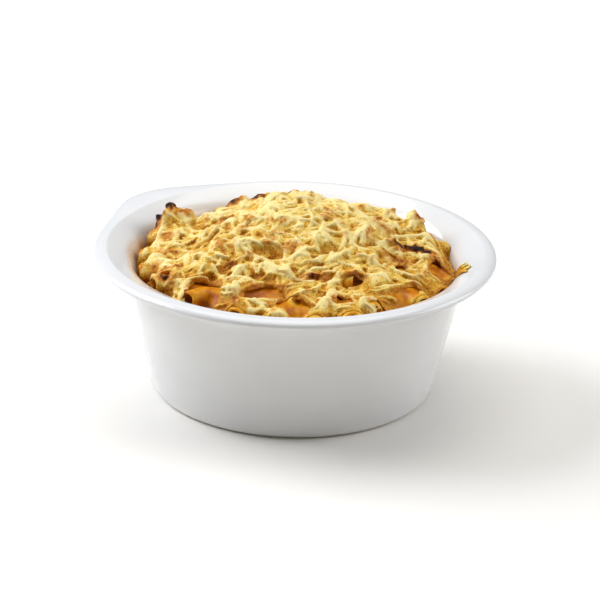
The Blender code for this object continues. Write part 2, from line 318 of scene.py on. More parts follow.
def heap_height(x, y):
    """Smooth height of the heap above a place in plan: a broad mound with steep sides."""
    azimuth = np.arctan2(y, x)
    share = np.hypot(x, y) / contact_radius(azimuth)
    off = np.hypot(x - HEAP_PEAK[0], y - HEAP_PEAK[1]) / HEAP_SPREAD
    mound = HEAP_SHOULDER + HEAP_RISE * np.exp(-off * off / 2)
    for turn, reach, rise, spread in HEAP_KNOBS:
        turn = math.radians(turn)
        off = np.hypot(x - reach * MM * math.cos(turn),
                       y - reach * MM * math.sin(turn)) / (spread * MM)
        mound = mound + rise * MM * np.exp(-off * off / 2)
    fall = ease(SHOULDER_START, 1.0, share)
    return mound + (contact_height(azimuth) - mound) * fall


# Hollows where the cheese tore open and the pasta lies low: azimuth in degrees, distance,
# length across and along the way out from the middle, and depth, in mm.
HOLLOWS = (
    (229, 54.5, 7.5, 7.5, 0.6),
    (256, 48, 8.5, 6.5, 0.8),
    (271, 56, 6.5, 5.5, 0.4),
    (290, 55, 4.0, 3.6, 0.6),
    (305, 43, 5.0, 2.8, 1.2),
    (303, 58.5, 4.0, 3.2, 0.8),
    (337, 45, 5.5, 2.8, 1.5),
    (207, 58, 4.0, 2.5, 1.0),
    (319, 59, 6.5, 3.6, 0.3),
    (350, 59.5, 7.5, 4.5, 0.0),
)
SLUMP = 1.4 * MM
# Swellings and dips of the cheese: place across and back in mm, rise and spread in mm. The
# pasta lies lower under the dips.
SWELLINGS = (
    (4, 40, 2.5, 4.5),
    (16, 41, -3.5, 6.0),
    (-9, 42, -3.5, 5.0),
    (-52.5, 28, 9.0, 3.2),
    (-56.5, 23, 12.0, 2.6),
    (-46, 27, 3.0, 3.0),
    (27, 38, 5.0, 4.5),
    (50, 24, 5.5, 2.8),
    (54.5, 17, 4.0, 2.8),
    (38, 33, 4.0, 3.0),
    (-27, 37, 3.0, 3.0),
    (-12, 37, 2.0, 2.2),
)


def hollow_distance(x, y, across, outward, azimuth, reach):
    """Distance from a hollow's middle, as a share of its size."""
    u = x * math.cos(azimuth) + y * math.sin(azimuth) - reach * MM
    v = -x * math.sin(azimuth) + y * math.cos(azimuth)
    return np.hypot(u / (outward * MM), v / (across * MM))


RIGHT_SLUMP = math.radians(12)


def in_front(azimuth):
    """1 on the dish's front side, where the heap has slumped, and 0 behind and beside it."""
    return ease(0.1, 0.6, -np.sin(azimuth))


def pasta_height(x, y):
    """Height that the macaroni is laid to: the heap's, lower in front and in the hollows."""
    height = heap_height(x, y)
    azimuth = np.arctan2(y, x)
    share = np.hypot(x, y) / contact_radius(azimuth)
    right = np.exp(-((azimuth - RIGHT_SLUMP) / math.radians(12)) ** 2)
    height = height - (SLUMP * (in_front(azimuth) * ease(0.66, 0.90, share)
                                + 2.5 * right * ease(0.78, 0.90, share))
                       * (1 - ease(SHOULDER_START, 1.0, share)))
    for azimuth, reach, across, outward, depth in HOLLOWS:
        off = hollow_distance(x, y, across, outward, math.radians(azimuth), reach)
        height = height - depth * MM * np.clip(1 - off ** 2 / 1.7, 0, 1)
    for across, back, rise, spread in SWELLINGS:
        off = np.hypot(x - across * MM, y - back * MM) / (spread * MM)
        height = height + min(rise, 0) * MM * np.exp(-off * off / 2)
    return height


def scatter_macaroni():
    """Centres and directions in plan of the macaroni in the heap's surface."""
    draw = random.Random(SEED)
    pieces = []
    for _ in range(MACARONI_TRIES):
        azimuth = draw.uniform(-math.pi, math.pi)
        reach = math.sqrt(draw.random()) * (contact_radius(azimuth) - MACARONI_RADIUS)
        turn = draw.uniform(0, math.pi)
        centre = Vector((math.cos(azimuth), math.sin(azimuth))) * reach
        if all((centre - other).length > MACARONI_SPACING for other, _ in pieces):
            pieces.append((centre, turn))
    return pieces


def lumps(x, y, width, shift=0.0):
    """Soft noise between about -1 and 1, with lumps of a width, at each place in plan."""
    return np.array([noise.noise(Vector((u / width, v / width, shift)))
                     for u, v in zip(np.ravel(x), np.ravel(y))]).reshape(np.shape(x))


def blurred(level, radius):
    """A height map softened over a radius."""
    taps = int(3 * radius / PITCH)
    weights = np.exp(-0.5 * (np.arange(-taps, taps + 1) * PITCH / radius) ** 2)
    weights /= weights.sum()
    for axis in (0, 1):
        padded = np.pad(level, [(taps, taps) if a == axis else (0, 0) for a in (0, 1)],
                        mode='edge')
        level = sum(weight * np.take(padded, range(k, k + level.shape[axis]), axis)
                    for k, weight in enumerate(weights))
    return level


def sample(level, x, y):
    """Height map read at places in plan, between its points."""
    u = np.clip((np.asarray(x) + REACH) / PITCH, 0, SIDE - 1.001)
    v = np.clip((np.asarray(y) + REACH) / PITCH, 0, SIDE - 1.001)
    i, j = u.astype(int), v.astype(int)
    s, t = u - i, v - j
    return ((level[i, j] * (1 - s) + level[i + 1, j] * s) * (1 - t)
            + (level[i, j + 1] * (1 - s) + level[i + 1, j + 1] * s) * t)


line = np.linspace(-REACH, REACH, SIDE)
map_x, map_y = np.meshgrid(line, line, indexing='ij')
map_azimuth = np.arctan2(map_y, map_x)
map_share = np.hypot(map_x, map_y) / contact_radius(map_azimuth)
map_heap = heap_height(map_x, map_y)

# Each macaroni lies along the heap. Near the wall it is turned to follow the wall and
# slid in until its ends are clear of the dish.
HALF = MACARONI_LENGTH / 2
BEND = math.radians(52)
BEND_RADIUS = MACARONI_LENGTH / BEND
laid = []                            # centre, direction, bend's side, pitch, size, length, depth
draw = random.Random(SEED + 1)
for centre, turn in scatter_macaroni():
    limit = contact_radius(math.atan2(centre.y, centre.x)) - MACARONI_RADIUS - 3.8 * MM
    tangent = math.atan2(centre.y, centre.x) + math.pi / 2
    off = (turn - tangent + math.pi / 2) % math.pi - math.pi / 2
    near_wall = float(ease(0.55, 0.80, centre.length / limit))
    turn = tangent + off * (1 - 0.9 * near_wall)
    along = Vector((math.cos(turn), math.sin(turn)))
    aside = Vector((-along.y, along.x))
    side = 1 if aside.dot(centre) < 0 else -1
    side = side if near_wall > 0.3 else draw.choice((-1, 1))
    for _ in range(3):
        reach = max((centre + along * k * HALF + aside * side
                     * (k * k - 1 / 3) * HALF ** 2 / (2 * BEND_RADIUS)).length
                    for k in (-1, -0.5, 0, 0.5, 1))
        if reach > limit:
            centre = centre * (1 - (reach - limit) / centre.length)
    behind = 1 - float(in_front(math.atan2(centre.y, centre.x)))
    laid.append((centre, turn, side, draw.uniform(-0.12, 0.12), draw.uniform(0.88, 1.02),
                 draw.uniform(0.72, 1.0), (0.4 + 4.6 * behind) * MM * near_wall))

# Height map of the bed with the pasta in it, read from the same places as the pieces.
map_pasta = pasta_height(map_x, map_y) - MACARONI_DEPTH - 1.2 * MM
for centre, turn, side, pitch, size, stretch, depth in laid:
    along = np.array((math.cos(turn), math.sin(turn)))
    u = (map_x - centre.x) * along[0] + (map_y - centre.y) * along[1]
    v = -(map_x - centre.x) * along[1] + (map_y - centre.y) * along[0]
    run = np.clip(u, -HALF * stretch, HALF * stretch)
    sag = side * (run ** 2 - HALF ** 2 / 3) / (2 * BEND_RADIUS)
    aside = np.hypot(u - run, v - sag)
    inside_tube = aside < MACARONI_RADIUS * size
    dome = np.sqrt(np.maximum((MACARONI_RADIUS * size) ** 2 - aside ** 2, 0))
    ends = [pasta_height(centre.x + k * HALF * along[0], centre.y + k * HALF * along[1])
            for k in (-1, 0, 1)]
    axis = (ends[0] + ends[2]) / 2 * 0.6 + ends[1] * 0.4 + (ends[2] - ends[0]) * run / (2 * HALF)
    top = axis - MACARONI_RADIUS - 0.4 * MM - depth + dome
    map_pasta = np.where(inside_tube, np.maximum(map_pasta, top), map_pasta)
edge_fade = 1 - ease(0.95, 1.0, map_share)
map_edge = contact_height(map_azimuth)
map_pasta = np.maximum(map_edge + (map_pasta - map_edge) * edge_fade, map_edge)

BED_RINGS = 120
BED_STEPS = 240
sunk = blurred(map_pasta, 2.4 * MM) - 0.4 * MM
sunk = sunk + lumps(map_x, map_y, 5 * MM, 3.1) * 0.7 * MM
sunk = np.maximum(map_edge + (sunk - map_edge) * edge_fade, map_edge)
bpy.ops.object.select_all(action='DESELECT')
bpy.ops.mesh.primitive_circle_add(vertices=BED_STEPS, radius=1, fill_type='NOTHING')
bed = bpy.context.object
bed.name = "sauce_bed"
bpy.ops.object.mode_set(mode='EDIT')
bpy.ops.mesh.select_all(action='SELECT')
shares = np.linspace(1, 0, BED_RINGS + 1)[1:-1]
size_now = 1.0
for share in shares:
    bpy.ops.mesh.extrude_region_move()
    bpy.ops.transform.resize(value=(share / size_now, share / size_now, 1),
                             center_override=(0, 0, 0))
    size_now = share
bpy.ops.object.mode_set(mode='OBJECT')
mesh = bed.data
flat = np.empty(len(mesh.vertices) * 3)
mesh.vertices.foreach_get("co", flat)
flat = flat.reshape(-1, 3)
turns = np.arctan2(flat[:, 1], flat[:, 0])
rings = np.hypot(flat[:, 0], flat[:, 1]) * contact_radius(turns)
flat[:, 0], flat[:, 1] = rings * np.cos(turns), rings * np.sin(turns)
flat[:, 2] = sample(sunk, flat[:, 0], flat[:, 1])
outermost = np.hypot(flat[:, 0], flat[:, 1]) > contact_radius(turns) - 0.01 * MM
flat[outermost, 2] = contact_height(turns[outermost])
mesh.vertices.foreach_set("co", flat.ravel())
bm = bmesh.new()
bm.from_mesh(mesh)
corner = side_radius(FLOOR + INNER_CORNER, WALL + INNER_CORNER)
wall_foot = arc((corner, FLOOR + INNER_CORNER), (INNER_CORNER - GAP, INNER_CORNER - GAP),
                -math.degrees(WALL_TILT), -90, 4)
outer = [edge for edge in bm.edges if edge.is_boundary
         and edge.verts[0].co.to_2d().length > 30 * MM]
for radius, height in wall_foot:
    grown = bmesh.ops.extrude_edge_only(bm, edges=outer)["geom"]
    outer = [part for part in grown if isinstance(part, bmesh.types.BMEdge)]
    for vert in {vert for edge in outer for vert in edge.verts}:
        stretch = radius / math.hypot(vert.co.x, vert.co.y)
        vert.co = (vert.co.x * stretch, vert.co.y * stretch, height)
bmesh.ops.contextual_create(bm, geom=outer)
middle = [edge for edge in bm.edges if edge.is_boundary]
bmesh.ops.contextual_create(bm, geom=middle)
bmesh.ops.recalc_face_normals(bm, faces=bm.faces[:])
bm.to_mesh(mesh)
bm.free()
select_only(bed)
bpy.ops.object.shade_smooth()

# ---------------------------------------------------------------------------------------
# Macaroni: short elbows of extruded durum pasta, hollow, cut square at both ends. They lie
# in the sauce with their upper halves bare; oil and the oven have turned them golden, and
# their orange-brown in the hollows is painted shade. One elbow is spun and given its wall,
# then laid many times.
# ---------------------------------------------------------------------------------------
PASTA_WALL = 1.3 * MM
bpy.ops.object.select_all(action='DESELECT')
bpy.ops.mesh.primitive_circle_add(vertices=20, radius=MACARONI_RADIUS, fill_type='NOTHING')
elbow = bpy.context.object
elbow.name = "elbow"
bpy.ops.object.mode_set(mode='EDIT')
bpy.ops.mesh.select_all(action='SELECT')
bpy.ops.transform.rotate(value=math.pi / 2, orient_axis='Y', center_override=(0, 0, 0))
bpy.ops.mesh.spin(steps=10, angle=BEND, center=(0, BEND_RADIUS, 0), axis=(0, 0, 1))
bpy.ops.mesh.select_all(action='SELECT')
bpy.ops.mesh.normals_make_consistent(inside=False)
bpy.ops.object.mode_set(mode='OBJECT')
select_only(elbow)
wall = elbow.modifiers.new("wall", 'SOLIDIFY')
wall.thickness = PASTA_WALL
wall.offset = -1
bpy.ops.object.modifier_apply(modifier="wall")
rims = elbow.modifiers.new("rims", 'BEVEL')
rims.width = 0.25 * MM
rims.segments = 1
rims.limit_method = 'ANGLE'
rims.angle_limit = math.radians(50)
bpy.ops.object.modifier_apply(modifier="rims")
ends = np.array([vert.co for vert in elbow.data.vertices])
ends = Vector(((ends.min(0) + ends.max(0)) / 2).tolist())
tangent = Matrix.Rotation(-BEND / 2 if ends.y > 0 else BEND / 2, 4, 'Z')
elbow.data.transform(tangent)
co = np.array([vert.co for vert in elbow.data.vertices])
elbow.data.transform(Matrix.Translation(-Vector(((co.min(0) + co.max(0)) / 2).tolist())))
co = np.array([vert.co for vert in elbow.data.vertices])
middle_y = co[np.abs(co[:, 0]) < 2 * MM][:, 1].mean()
if middle_y > 0:                     # the bend's belly faces -Y
    elbow.data.transform(Matrix.Rotation(math.pi, 4, 'X'))

pasta_copies = []
for centre, turn, side, pitch, size, stretch, depth in laid:
    along = Vector((math.cos(turn), math.sin(turn), 0))
    ends = [float(pasta_height(centre.x + k * HALF * along.x, centre.y + k * HALF * along.y))
            for k in (-1, 0, 1)]
    slope = math.atan2(ends[2] - ends[0], 2 * HALF) + pitch
    height = (ends[0] + ends[2]) / 2 * 0.6 + ends[1] * 0.4
    height -= MACARONI_RADIUS + 0.4 * MM + depth
    place = (Matrix.Translation((centre.x, centre.y, height))
             @ Matrix.Rotation(turn, 4, 'Z') @ Matrix.Rotation(-slope, 4, 'Y')
             @ Matrix.Diagonal((stretch, side * size, size, 1)))
    copy = elbow.copy()
    copy.data = elbow.data.copy()
    bpy.context.scene.collection.objects.link(copy)
    copy.data.transform(place)
    if side < 0:
        copy.data.flip_normals()
    pasta_copies.append(copy)
bpy.data.objects.remove(elbow)
bpy.ops.object.select_all(action='DESELECT')
for copy in pasta_copies:
    copy.select_set(True)
pasta = pasta_copies[0]
bpy.context.view_layer.objects.active = pasta
bpy.ops.object.join()


def points_of(piece):
    """The vertices of a piece as an array."""
    flat = np.empty(len(piece.data.vertices) * 3)
    piece.data.vertices.foreach_get("co", flat)
    return flat.reshape(-1, 3)


def inside_dish(co, clear=0.2 * MM):
    """Points drawn in until they are clear of the dish's inner face."""
    height = np.clip(co[:, 2], FLOOR, DISH_HEIGHT)
    widths, levels = np.transpose(flare(40))
    limit = np.where(height < FLARE_HEIGHT, side_radius(height, WALL),
                     np.interp(height, levels, widths)) - clear
    drop = np.clip(FLOOR + INNER_CORNER - height, 0, INNER_CORNER - clear)
    limit = limit - INNER_CORNER + np.sqrt(INNER_CORNER ** 2 - drop ** 2)
    stretch = np.minimum(1, limit / np.maximum(np.hypot(co[:, 0], co[:, 1]), 1 * MM))
    return co * np.stack([stretch, stretch, np.ones_like(stretch)], axis=1)


def baked_together(piece, voxel, softness, most):
    """Fuse the overlapping forms of a piece into one skin, soften it and thin it out."""
    select_only(piece)
    fused = piece.modifiers.new("fused", 'REMESH')
    fused.mode = 'VOXEL'
    fused.voxel_size = voxel
    bpy.ops.object.modifier_apply(modifier="fused")
    soft = piece.modifiers.new("softened", 'SMOOTH')
    soft.factor = softness
    soft.iterations = 2
    bpy.ops.object.modifier_apply(modifier="softened")
    count = sum(len(face.vertices) - 2 for face in piece.data.polygons)
    piece.data.vertices.foreach_set("co", inside_dish(points_of(piece)).ravel())
    if count > most:
        lighter = piece.modifiers.new("lighter", 'DECIMATE')
        lighter.ratio = most / count
        bpy.ops.object.modifier_apply(modifier="lighter")
    bpy.ops.object.shade_smooth()


def give_attribute(piece, name, values):
    """Store one number per vertex for the piece's material."""
    piece.data.attributes.new(name, 'FLOAT', 'POINT')
    piece.data.attributes[name].data.foreach_set("value", np.asarray(values, float))


# Cooked pasta isn't quite round: each wall wanders a little.
co = points_of(pasta)
swell = lumps(co[:, 0] + 0.7 * co[:, 2], co[:, 1] - 0.6 * co[:, 2], 6 * MM, 5.2)
co += swell[:, None] * 1.1 * MM * np.array((0.7, 0.7, 1.0))
pasta.data.vertices.foreach_set("co", co.ravel())
bed.select_set(True)
bpy.context.view_layer.objects.active = pasta
pasta.select_set(True)
bpy.ops.object.join()
pasta.name = "baked_macaroni"
baked_together(pasta, 0.6 * MM, 0.5, 190000)

co = points_of(pasta)
# Painted shade: the pasta darkens to orange-brown with depth below the heap's surface and in the
# hollows under it; the random tints are its own roasted tone.
below = np.clip((pasta_height(co[:, 0], co[:, 1]) - co[:, 2]) / (9 * MM), 0, 1)
hollow_depth_shade = heap_height(co[:, 0], co[:, 1]) - pasta_height(co[:, 0], co[:, 1])
tints = 0.5 + 0.5 * lumps(co[:, 0], co[:, 1], 11 * MM, 9.4)
give_attribute(pasta, "roast_and_depth_shade", 0.14 + 0.5 * below + 0.3 * tints + hollow_depth_shade / (45 * MM))

# Durum pasta baked in oil and sauce: smooth and faintly shiny, golden, with random
# orange-brown patches where the oven caught it; yellow on top and orange-brown lower down
# is painted shade.
durum, tree, shader = new_material("baked_durum_pasta", Roughness=0.34,
                                   Subsurface_Weight=0.1, Subsurface_Scale=0.003,
                                   Subsurface_Radius=(1.0, 0.6, 0.2), Specular_IOR_Level=0.14)
where = add_node(tree, "TexCoord").outputs["Object"]
roast_and_depth_shade_node = add_node(tree, "Attribute", attribute_name="roast_and_depth_shade")
cloud = add_node(tree, "TexNoise", {"Vector": where, "Scale": 1 / (4.5 * MM), "Detail": 4.0})
cloudy = add_node(tree, "MapRange", {0: cloud.outputs["Fac"], 1: 0.32, 2: 0.68, 3: 0.0, 4: 0.55})
mixed = add_node(tree, "Math", {0: cloudy.outputs[0], 1: roast_and_depth_shade_node.outputs["Fac"]})
tone = add_node(tree, "ValToRGB", {0: mixed.outputs[0]},
                stops=[(0.28, "#E8C058"), (0.45, "#DEA42C"), (0.62, "#D08810"),
                       (0.82, "#BC6C06"), (1.05, "#9A5002")])
tree.links.new(tone.outputs[0], shader.inputs["Base Color"])
fine = add_node(tree, "TexNoise", {"Vector": where, "Scale": 1 / (1.5 * MM), "Detail": 3.0})
grain = add_node(tree, "Bump", {"Height": fine.outputs["Fac"], "Strength": 0.3,
                                "Distance": 0.4 * MM})
tree.links.new(grain.outputs[0], shader.inputs["Normal"])
pasta.data.materials.append(durum)
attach(pasta, "root")
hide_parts("macaroni")

# ---------------------------------------------------------------------------------------
# Melted cheese: coarsely grated hard cheese, strewn over the pasta and baked until the
# shreds sank, ran together and browned. Each shred is laid on what is already there, then
# all are fused into one skin with real holes, where the pasta shows.
# ---------------------------------------------------------------------------------------
# Count, width and thickness in mm, share that stands out, how far directions stray, how pale
# and how thinly strewn in front: the melted, the half-melted and the dry shreds.
SHRED_LAYERS = (
    (1200, 2.6, 1.2, 0.25, 0.45, -0.22, 0.5),
    (900, 2.3, 1.3, 0.45, 0.60, -0.04, 0.6),
    (750, 2.0, 1.4, 0.65, 0.90, 0.16, 0.1),
)
SHRED_STEP = 0.9 * MM
CHEESE_EDGE = 1.01
CHEESE_TONGUES = 0.06
TONGUE_PITCH = 4.0
def covered(x, y):
    """How far inside the cheese's outline a place lies, below 0 in a hole or outside."""
    azimuth = np.arctan2(y, x)
    share = np.hypot(x, y) / contact_radius(azimuth)
    tongues = lumps(TONGUE_PITCH * np.cos(azimuth), TONGUE_PITCH * np.sin(azimuth), 1.0)
    inside = (CHEESE_EDGE + CHEESE_TONGUES * tongues - share) * 60 * MM
    for turn, reach, across, outward, _ in HOLLOWS:
        off = hollow_distance(x, y, across, outward, math.radians(turn), reach)
        inside = np.minimum(inside, (off - 1) * min(outward, across) * MM)
    return inside


map_covered = covered(map_x, map_y)
map_covered = map_covered + lumps(map_x, map_y, 3.5 * MM, 7.7) * 1.4 * MM
level = np.maximum(map_pasta, sunk)
level = np.maximum(level, blurred(level, 2.5 * MM) + 0.1 * MM)
level = level + np.abs(lumps(map_x, map_y, 4 * MM, 4.4)) * 1.6 * MM
for across, back, rise, spread in SWELLINGS:
    off = np.hypot(map_x - across * MM, map_y - back * MM) / (spread * MM)
    level = level + max(rise, 0) * MM * np.exp(-off * off / 2)
co = points_of(pasta)
i, j = (np.round((co[:, :2].T + REACH) / PITCH)).astype(int)
pasta_top = np.zeros((SIDE, SIDE))
np.maximum.at(pasta_top, (i, j), co[:, 2])
for axis in (0, 1):
    near = [np.roll(pasta_top, step, axis) for step in (-1, 0, 1)]
    pasta_top = np.max(near, axis=0)
level = np.maximum(level, pasta_top + 0.5 * MM)
draw = np.random.default_rng(SEED)
shred_verts, shred_faces = [], []
shade = np.full((SIDE, SIDE), -0.3)  # how pale the topmost shred is
ROUND = np.radians(np.arange(22.5, 360, 45))
ROUND_ACROSS = np.cos(ROUND) / math.cos(math.radians(22.5))
ROUND_UP = np.sin(ROUND) / math.cos(math.radians(22.5))


def add_strip(xs, ys, centre, headings, half_wide, half_thick, tilt):
    """Add the mesh of one closed strip of cheese along a line of points."""
    side_x, side_y = -np.sin(headings), np.cos(headings)
    start = sum(len(block) for block in shred_verts)
    across = ROUND_ACROSS[None, :] * half_wide[:, None]
    up = ROUND_UP[None, :] * half_thick[:, None] + across * tilt
    shred_verts.append(np.stack([xs[:, None] + across * side_x[:, None],
                                 ys[:, None] + across * side_y[:, None],
                                 centre[:, None] + up], axis=2).reshape(-1, 3))
    sides, count = len(ROUND_UP), len(xs)
    for k in range(count - 1):
        for s in range(sides):
            a, b = start + k * sides + s, start + k * sides + (s + 1) % sides
            shred_faces.append((a, b, b + sides, a + sides))
    shred_faces.append(tuple(start + s for s in range(sides))[::-1])
    shred_faces.append(tuple(start + (count - 1) * sides + s for s in range(sides)))


def lay_shred(ground, x, y, heading, length, width, thick, proud, pale, curl=0.0,
              wander=0.10, anywhere=False):
    """Lay one shred of cheese on the ground below it, mark its top and add its mesh."""
    count = max(int(length / SHRED_STEP), 5)
    headings = heading + np.cumsum(draw.normal(0, wander, count))
    xs = x + np.cumsum(np.cos(headings)) * SHRED_STEP
    ys = y + np.cumsum(np.sin(headings)) * SHRED_STEP
    if not anywhere and sample(map_covered, xs, ys).min() < -0.8 * MM:
        return False
    under = sample(ground, xs, ys)
    for _ in range(2):
        softened = np.convolve(np.pad(under, 1, mode='edge'), (0.25, 0.5, 0.25), 'valid')
        under = np.maximum(softened, under - 0.25 * MM)
    share = np.linspace(-1, 1, count)
    taper = np.sqrt(np.clip(1 - np.abs(share) ** 6, 0.05, 1))
    knobs = np.convolve(draw.normal(0, 1, count + 2), (0.25, 0.5, 0.25), 'valid')
    half_wide = width / 2 * taper * (1 + 0.18 * knobs)
    half_thick = thick / 2 * np.sqrt(taper)
    settled = draw.uniform(-0.3, 0.3)
    centre = under + thick * (proud - 0.5 + settled) + curl * np.clip(share, 0, 1) ** 3
    add_strip(xs, ys, centre, headings, half_wide, half_thick, draw.normal(0, 0.2))
    reach = int(width / 2 / PITCH) + 1
    for k in range(count):
        i, j = round((xs[k] + REACH) / PITCH), round((ys[k] + REACH) / PITCH)
        i0, i1 = max(i - reach, 0), min(i + reach + 1, SIDE)
        j0, j1 = max(j - reach, 0), min(j + reach + 1, SIDE)
        window = (slice(i0, i1), slice(j0, j1))
        off = np.hypot(map_x[window] - xs[k], map_y[window] - ys[k]) / half_wide[k]
        top = centre[k] + half_thick[k] * np.clip(1 - off ** 4, 0, 1) ** 0.25
        above = (off < 1) & (top > level[window])
        level[window] = np.where(above, top, level[window])
        shade[window] = np.where(above, pale, shade[window])
    return True


for count, width, thick, proud, stray, pale, thin in SHRED_LAYERS:
    placed = 0
    ground = blurred(level, 0.6 * MM)
    while placed < count:
        azimuth = draw.uniform(-math.pi, math.pi)
        reach = math.sqrt(draw.random()) * 63.5 * MM
        x, y = reach * math.cos(azimuth), reach * math.sin(azimuth)
        if sample(map_covered, x, y) < draw.uniform(-1.0, 1.5) * MM:
            continue
        if draw.random() < thin * ease(5 * MM, -30 * MM, y):
            continue
        flow = 1.6 * noise.noise(Vector((x, y, 0)) / (15 * MM)) + 0.1
        heading = flow + draw.normal(0, stray) + math.pi * draw.integers(0, 2)
        length = draw.uniform(6, 17) * MM
        end_x, end_y = x + length * math.cos(heading), y + length * math.sin(heading)
        if np.hypot(end_x, end_y) > 63.5 * MM:
            continue
        curl = draw.uniform(0.8, 2.0) * MM if proud > 0.4 and draw.random() < 0.06 else 0.0
        placed += lay_shred(ground, x, y, heading, length, width * MM * draw.uniform(0.6, 1.2),
                            thick * MM * draw.uniform(0.8, 1.2), proud,
                            draw.normal(pale, 0.15), curl)

# Curled tips that stand up and caught the heat: place across and back, direction, then
# length, width, thickness and how far the tip stands up, in mm.
TIPS = (
    (-29, 36, 15, 5, 4.6, 2.6, 0.8),
    (-25, 36.5, 10, 4, 3.6, 2.0, 0.5),
    (-18, 38, 10, 4, 4.2, 2.4, 0.8),
    (-13, 36.5, 80, 3, 4.2, 2.2, 1.5),
    (-6, 39.5, 5, 6, 2.2, 1.4, 1.0),
    (-52, 25.5, 100, 4, 5.5, 3.2, 2.2),
    (-57, 22, 80, 4, 3.0, 1.8, 1.6),
    (-47, 26, 20, 5, 4.5, 2.6, 1.0),
    (39.5, 30.5, 75, 4, 3.2, 2.0, 2.4),
    (47, 23, 60, 5, 5.0, 2.6, 2.6),
    (50, 22, 60, 5, 4.0, 2.4, 2.0),
    (42.5, 0, 3, 10, 3.6, 2.4, 1.6),
)
# Pale shreds that melted last and hang over the gaps: place, direction and length.
DRAPED = (
    (-3, -49.5, 189, 14, 2.8),
    (-17, -52, 325, 8, 2.8),
    (26.5, -49.5, 272, 6, 2.4),
    (26.5, -54.5, 10, 6, 2.4),
    (15.5, -44.5, 254, 16, 3.6),
    (-12.6, -24, 294, 19, 3.2),
    (33, 21, 285, 9, 3.2),
    (20, -40, 250, 9, 2.8),
    (33, -47, 205, 8, 2.6),
    (-41, -35, 230, 10, 3.0),
    (-24, -38, 285, 12, 3.0),
)
for across, back, heading, length, width, thick, rise in TIPS:
    lay_shred(level, across * MM, back * MM, math.radians(heading), length * MM, width * MM,
              thick * MM, 0.6, -0.1, rise * MM, 0.05, True)
for across, back, heading, length, width in DRAPED:
    lay_shred(level, across * MM, back * MM, math.radians(heading), length * MM, width * MM,
              1.4 * MM, 0.6, 0.45, 0.0, 0.08, True)

# A few thin grated threads that fell on the rim's inside and dried there.
rim_widths, rim_levels = np.transpose(flare(40))
for _ in range(9):
    azimuth = math.radians(-12 + draw.normal(0, 4))
    reach = draw.uniform(64.5, 68.5) * MM
    headings = azimuth + draw.normal(0.3, 0.8) + np.cumsum(draw.normal(0, 0.15, 8))
    xs = reach * math.cos(azimuth) + np.cumsum(np.cos(headings)) * 0.7 * MM
    ys = reach * math.sin(azimuth) + np.cumsum(np.sin(headings)) * 0.7 * MM
    rest = np.interp(np.hypot(xs, ys), rim_widths, rim_levels) + draw.uniform(0.4, 0.8) * MM
    add_strip(xs, ys, rest, headings, np.full(8, 0.6 * MM), np.full(8, 0.45 * MM), 0.0)

# The shreds' melted body: a skin that lies a little below their crests and fills between
# them, more in some patches than in others.
fill = blurred(level, 0.8 * MM) + (lumps(map_x, map_y, 9 * MM, 1.3) * 0.8 - 0.6) * MM
fill = fill + lumps(map_x, map_y, 1.6 * MM, 6.3) * 0.3 * MM
fill = np.minimum(fill, level + 0.3 * MM)
fill = np.maximum(fill, pasta_top + 0.4 * MM)
inside = map_covered > 0.3 * MM
index = -np.ones(inside.shape, int)
index[inside] = np.arange(inside.sum())
skin_top = np.stack([map_x[inside], map_y[inside], fill[inside]], axis=1)
skin_low = skin_top - (0, 0, 1.5 * MM)
cells = inside[:-1, :-1] & inside[1:, :-1] & inside[1:, 1:] & inside[:-1, 1:]
i, j = np.nonzero(cells)
quads = np.stack([index[i, j], index[i + 1, j], index[i + 1, j + 1], index[i, j + 1]], axis=1)
edges = {}
for quad in quads.tolist():
    for a, b in zip(quad, quad[1:] + quad[:1]):
        if (b, a) in edges:
            del edges[(b, a)]
        else:
            edges[(a, b)] = True
count = len(skin_top)
skin_faces = quads.tolist() + (quads[:, ::-1] + count).tolist()
skin_faces += [(b, a, a + count, b + count) for a, b in edges]
offset = 2 * count
strewn = np.concatenate([skin_top, skin_low] + shred_verts)
faces = skin_faces + [tuple(k + offset for k in face) for face in shred_faces]
mesh = bpy.data.meshes.new("melted_cheese")
mesh.from_pydata(strewn.tolist(), [], faces)
mesh.update()
cheese = bpy.data.objects.new("melted_cheese", mesh)
bpy.context.scene.collection.objects.link(cheese)
baked_together(cheese, 0.38 * MM, 0.15, 196000)

co = points_of(cheese)
top = np.full((SIDE, SIDE), -1.0)
i = np.clip(np.round((co[:, 0] + REACH) / PITCH).astype(int), 0, SIDE - 1)
j = np.clip(np.round((co[:, 1] + REACH) / PITCH).astype(int), 0, SIDE - 1)
np.maximum.at(top, (i, j), co[:, 2])
known = top > 0
top = np.where(known, top, 0.0)
mean = blurred(top, 2.2 * MM) / np.maximum(blurred(known.astype(float), 2.2 * MM), 0.02)
# Painted light and shade: the crests above the local mean height are made paler, and the
# crevices darker gold.
raised = (co[:, 2] - sample(mean, co[:, 0], co[:, 1])) / (1.2 * MM)
rim = np.clip(1 - (sample(map_covered, co[:, 0], co[:, 1]) - 0.3 * MM) / (2.5 * MM), 0, 1)
# Darker towards the front and both sides of the heap.
darker_front_and_sides = np.clip((0.5 * np.abs(co[:, 0] - 5 * MM) - 0.4 * co[:, 1]) / (50 * MM), 0, 1)
pale = shade[i, j]
give_attribute(cheese, "raised", np.clip(0.5 + raised * 0.7 - 0.27 * darker_front_and_sides + pale, 0, 1.3))

